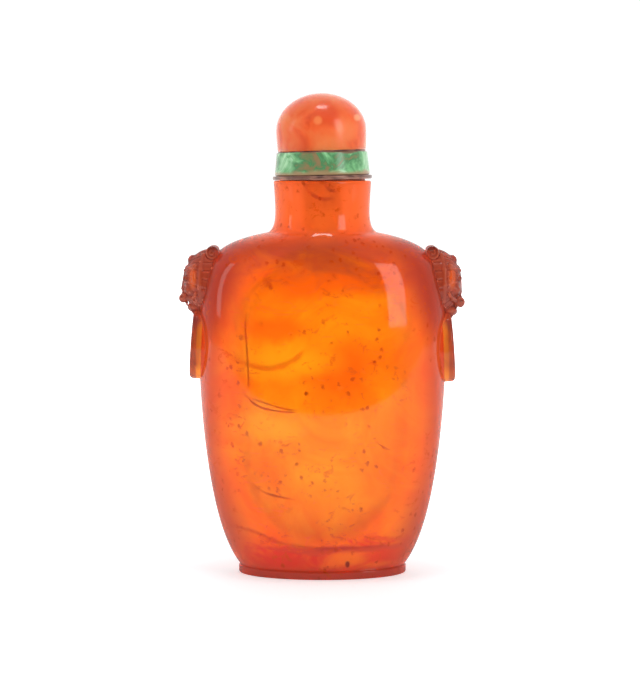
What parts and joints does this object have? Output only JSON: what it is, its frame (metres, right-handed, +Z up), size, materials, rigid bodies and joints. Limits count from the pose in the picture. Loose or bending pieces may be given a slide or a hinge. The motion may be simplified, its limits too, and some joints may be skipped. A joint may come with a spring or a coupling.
{
  "type": "snuff bottle",
  "caption": "Flattened amber snuff bottle, hollowed through its neck, with a carved lion mask and ring on each side, an oval foot and a domed coral stopper.",
  "frame": {"origin": "centre of the oval foot, on its underside", "axes": "+Z up along the neck; +X to the viewer's right, through both masks; -Y towards the viewer, out of the front face"},
  "size_m": [0.045, 0.0236, 0.0757],
  "materials": {
    "amber": "polished translucent amber",
    "horn": "polished dark horn",
    "green_stone": "polished mottled green stone",
    "coral": "polished coral",
    "cork": "plain cork"
  },
  "bodies": {
    "root": {"amber_bottle": "amber", "horn_disc": "horn", "green_collar": "green_stone", "coral_cap": "coral", "cork": "cork"}
  },
  "joints": []
}
